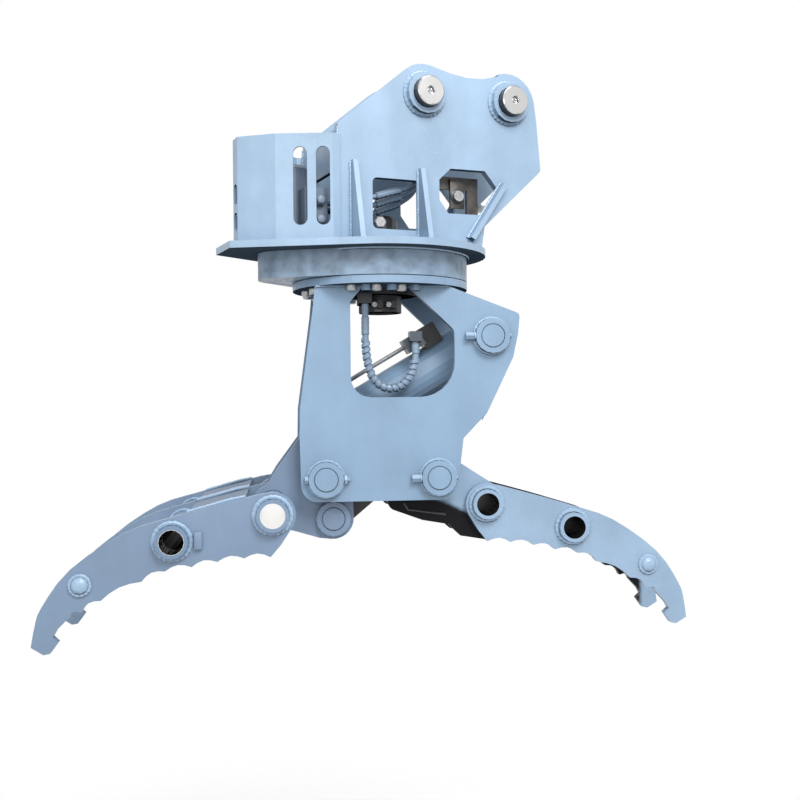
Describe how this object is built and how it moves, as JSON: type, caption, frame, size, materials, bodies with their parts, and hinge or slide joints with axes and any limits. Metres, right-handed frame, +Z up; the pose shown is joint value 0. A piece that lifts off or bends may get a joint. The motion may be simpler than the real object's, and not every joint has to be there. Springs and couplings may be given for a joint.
{
  "type": "log grapple",
  "caption": "Rotating hydraulic log grab: curved tine jaws closed by one cylinder and a sync link, hung on two pins under a motor-driven slewing head",
  "frame": {"origin": "centre of the stick pin, the left of the two head pins, from which the grab hangs", "axes": "+X along the jaws' swing towards the cylinder side, +Y away from the viewer, +Z up; the head is turned 17 degrees about +Z"},
  "size_m": [1.48, 0.678, 1.3354],
  "materials": {
    "grey_blue_paint": "satin",
    "dark_paint": "satin",
    "bright_steel": "satin",
    "machined_steel": "satin",
    "chrome": "polished",
    "hose_rubber": "satin"
  },
  "bodies": {
    "head": {"hanger_plate_front": "grey_blue_paint", "hanger_plate_rear": "grey_blue_paint", "stick_pin": "bright_steel", "bucket_link_pin": "bright_steel", "base_plate": "grey_blue_paint", "head_cross_plate": "grey_blue_paint", "motor_guard": "grey_blue_paint", "slew_motor": "dark_paint", "motor_port_block": "dark_paint", "gear_housing": "grey_blue_paint", "bearing_inner_ring": "machined_steel", "swivel_core": "dark_paint", "hose_bulkhead": "grey_blue_paint", "hose_guide": "grey_blue_paint", "head_hose_1": "hose_rubber", "head_hose_2": "hose_rubber", "head_hose_3": "hose_rubber"},
    "pinion": {"pinion": "machined_steel"},
    "lower_body": {"slew_flange": "grey_blue_paint", "ring_gear": "machined_steel", "swivel_housing": "dark_paint", "swivel_elbow": "dark_paint", "cylinder_hose": "hose_rubber", "body_plate_front": "grey_blue_paint", "body_plate_rear": "grey_blue_paint", "left_pin": "grey_blue_paint", "right_pin": "grey_blue_paint", "cylinder_pin": "grey_blue_paint", "left_lock_bolt": "bright_steel", "right_lock_bolt": "bright_steel", "cylinder_lock_bolt": "bright_steel"},
    "left_jaw": {"left_arm_front": "grey_blue_paint", "left_arm_rear": "grey_blue_paint", "left_tine_front": "grey_blue_paint", "left_tine_middle": "grey_blue_paint", "left_tine_rear": "grey_blue_paint", "left_tube_1": "bright_steel", "left_tube_2": "bright_steel", "left_tip_bar": "grey_blue_paint", "left_cover_front": "grey_blue_paint", "left_cover_rear": "grey_blue_paint", "link_pin": "grey_blue_paint", "rod_pin": "machined_steel"},
    "right_jaw": {"right_arm_front": "grey_blue_paint", "right_arm_rear": "grey_blue_paint", "right_tine_front": "grey_blue_paint", "right_tine_rear": "grey_blue_paint", "right_tube_1": "grey_blue_paint", "right_tube_2": "grey_blue_paint", "right_tip_bar": "grey_blue_paint", "far_link_pin": "machined_steel"},
    "sync_link": {"sync_link": "grey_blue_paint"},
    "cylinder_barrel": {"cylinder_barrel": "grey_blue_paint", "cylinder_gland": "machined_steel", "port_block": "dark_paint", "hose_fitting": "dark_paint", "cylinder_pipe": "bright_steel"},
    "cylinder_rod": {"cylinder_rod": "chrome"}
  },
  "joints": [
    {"name": "slew", "type": "hinge", "parent": "head", "child": "lower_body", "pos_m": [-0.06359, -0.01944, -0.4553], "axis": [0, 0, 1], "continuous": true},
    {"name": "pinion_spin", "type": "hinge", "parent": "head", "child": "pinion", "pos_m": [-0.28163, -0.0861, -0.438], "axis": [0, 0, 1], "continuous": true},
    {"name": "left_jaw_swing", "type": "hinge", "parent": "lower_body", "child": "left_jaw", "pos_m": [-0.20559, -0.01944, -0.8993], "axis": [0, -1, 0], "range_deg": [0, 70]},
    {"name": "right_jaw_swing", "type": "hinge", "parent": "lower_body", "child": "right_jaw", "pos_m": [0.05441, -0.01944, -0.8993], "axis": [0, 1, 0], "range_deg": [0, 70]},
    {"name": "sync_link_near", "type": "hinge", "parent": "left_jaw", "child": "sync_link", "pos_m": [-0.18729, -0.01944, -0.9937], "axis": [0, -1, 0], "range_deg": [-70, 0]},
    {"name": "cylinder_turn", "type": "hinge", "parent": "lower_body", "child": "cylinder_barrel", "pos_m": [0.18311, -0.01944, -0.572], "axis": [0, -1, 0], "range_deg": [-0.7, 0]},
    {"name": "cylinder_stroke", "type": "slide", "parent": "cylinder_barrel", "child": "cylinder_rod", "axis": [-0.8624, 0, -0.5063], "range_m": [0, 0.11362]}
  ],
  "couplings": [
    {"joint": "pinion_spin", "follows": "slew", "ratio": -4.4286},
    {"joint": "right_jaw_swing", "follows": "left_jaw_swing", "ratio": 1},
    {"joint": "sync_link_near", "follows": "left_jaw_swing", "ratio": -1},
    {"joint": "cylinder_turn", "follows": "left_jaw_swing", "ratio": -0.01},
    {"joint": "cylinder_stroke", "follows": "left_jaw_swing", "m_per_rad": 0.093}
  ]
}
